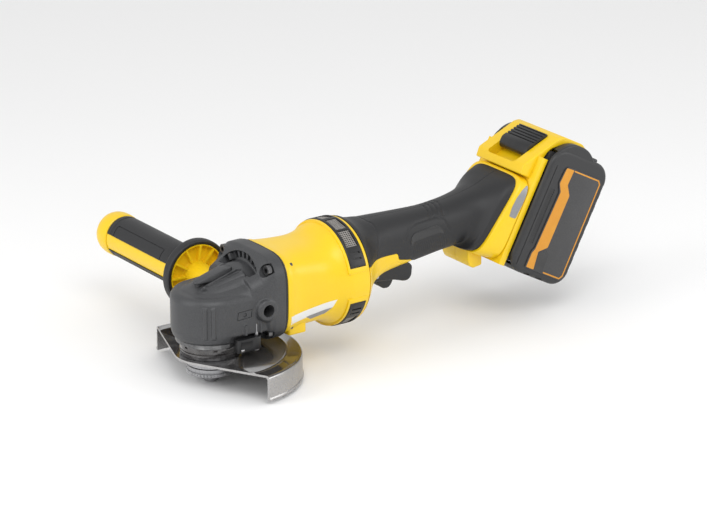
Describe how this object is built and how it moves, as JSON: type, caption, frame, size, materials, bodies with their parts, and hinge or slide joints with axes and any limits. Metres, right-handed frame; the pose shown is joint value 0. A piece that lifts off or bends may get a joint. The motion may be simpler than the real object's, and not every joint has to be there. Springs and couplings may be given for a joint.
{
  "type": "angle grinder",
  "caption": "Battery angle grinder in yellow and black with a paddle switch, ribbed side handle, swivelling disc guard, knurled clamp nut and a large slide-on battery on a tilted foot.",
  "frame": {"origin": "centre of the flat end face of the threaded spindle nose", "axes": "-Z points out of the spindle nose along the spindle axis, +X runs from the gear head to the battery, +Y is the side the auxiliary handle is screwed into"},
  "size_m": [0.419, 0.2861, 0.1582],
  "materials": {
    "yellow_plastic": "satin moulded yellow plastic",
    "black_plastic": "fine textured black plastic",
    "grip_rubber": "soft over-moulded rubber, matt",
    "gasket_rubber": "black rubber seal",
    "gear_case_metal": "satin dark grey paint on die-cast alloy",
    "bare_alloy": "machined die-cast alloy",
    "machined_steel": "turned and ground steel",
    "screw_steel": "blackened steel",
    "guard_steel": "gloss dark coated sheet steel with a bright lip",
    "laminations": "stacked electrical steel",
    "battery_inside": "cell carrier",
    "label_film": "printed side label film with no lettering"
  },
  "bodies": {
    "housing": {"gear_case": "gear_case_metal", "gear_case_gasket": "gasket_rubber", "bearing_cap": "bare_alloy", "cap_screw_1": "screw_steel", "cap_screw_2": "screw_steel", "cap_screw_3": "screw_steel", "cap_screw_4": "screw_steel", "flange_screw_1": "screw_steel", "flange_screw_2": "screw_steel", "flange_screw_3": "screw_steel", "flange_screw_4": "screw_steel", "spindle_bearing_lower": "machined_steel", "spindle_bearing_upper": "machined_steel", "guard_lever_pin": "machined_steel", "spindle_lock_spring": "machined_steel", "motor_housing": "yellow_plastic", "intake_screen_upper": "black_plastic", "intake_screen_lower": "black_plastic", "stator": "laminations", "rotor_bearing_front": "machined_steel", "rotor_bearing_rear": "machined_steel", "rear_bearing_carrier": "black_plastic", "handle_shell_left": "yellow_plastic", "handle_shell_right": "yellow_plastic", "handle_grip_left": "grip_rubber", "handle_grip_right": "grip_rubber", "paddle_pin": "machined_steel", "paddle_spring": "machined_steel", "switch_body": "black_plastic", "control_module": "black_plastic", "terminal_block": "black_plastic"},
    "spindle": {"spindle": "machined_steel", "ring_gear": "machined_steel", "inner_flange": "machined_steel", "clamp_nut": "machined_steel"},
    "rotor": {"rotor_shaft": "machined_steel", "rotor_core": "laminations", "fan": "black_plastic", "pinion": "machined_steel"},
    "guard": {"guard": "guard_steel", "guard_collar": "guard_steel"},
    "guard_lever": {"guard_lever": "black_plastic"},
    "spindle_lock": {"spindle_lock_button": "black_plastic"},
    "paddle": {"paddle": "black_plastic"},
    "lock_off": {"lock_off_lever": "black_plastic"},
    "battery": {"battery_upper_housing": "yellow_plastic", "battery_lower_housing": "black_plastic", "battery_cell_pack": "battery_inside", "battery_label": "label_film", "battery_button_spring": "machined_steel"},
    "battery_button": {"battery_button": "black_plastic"},
    "side_handle": {"side_handle_stud": "machined_steel", "side_handle_core": "yellow_plastic", "side_handle_rim": "grip_rubber", "side_handle_grip": "grip_rubber", "side_handle_end_cap": "yellow_plastic"}
  },
  "joints": [
    {"name": "spindle_spin", "type": "hinge", "parent": "housing", "child": "spindle", "pos_m": [0, 0, 0], "axis": [0, 0, 1], "continuous": true},
    {"name": "rotor_spin", "type": "hinge", "parent": "housing", "child": "rotor", "pos_m": [0, 0, 0.0708], "axis": [1, 0, 0], "continuous": true},
    {"name": "guard_turn", "type": "hinge", "parent": "housing", "child": "guard", "pos_m": [0, 0, 0], "axis": [0, 0, 1], "range_deg": [-90, 90]},
    {"name": "guard_lever_swing", "type": "hinge", "parent": "housing", "child": "guard_lever", "pos_m": [0.023, -0.034, 0], "axis": [0, 0, 1], "range_deg": [0, 12], "stiffness_Nm_per_rad": 0.15},
    {"name": "spindle_lock_press", "type": "slide", "parent": "housing", "child": "spindle_lock", "axis": [0, 0, -1], "range_m": [0, 0.0024], "stiffness_N_per_m": 600, "deforming": ["spindle_lock_spring"]},
    {"name": "paddle_squeeze", "type": "hinge", "parent": "housing", "child": "paddle", "pos_m": [0.1585, 0, 0.0616], "axis": [0, -1, 0], "range_deg": [0, 7], "stiffness_Nm_per_rad": 1.5, "deforming": ["paddle_spring"]},
    {"name": "lock_off_swing", "type": "hinge", "parent": "paddle", "child": "lock_off", "pos_m": [0.1715, 0, 0.0596], "axis": [0, 1, 0], "range_deg": [0, 12], "stiffness_Nm_per_rad": 0.2},
    {"name": "battery_slide", "type": "slide", "parent": "housing", "child": "battery", "axis": [0.4695, 0, 0.8829], "range_m": [0, 0.09]},
    {"name": "battery_release", "type": "slide", "parent": "battery", "child": "battery_button", "axis": [0.3616, 0, -0.9323], "range_m": [0, 0.003], "stiffness_N_per_m": 500, "deforming": ["battery_button_spring"]},
    {"name": "side_handle_out", "type": "slide", "parent": "housing", "child": "side_handle", "axis": [0, 1, 0], "range_m": [0, 0.03]}
  ],
  "couplings": [
    {"joint": "rotor_spin", "follows": "spindle_spin", "ratio": 3.2}
  ]
}
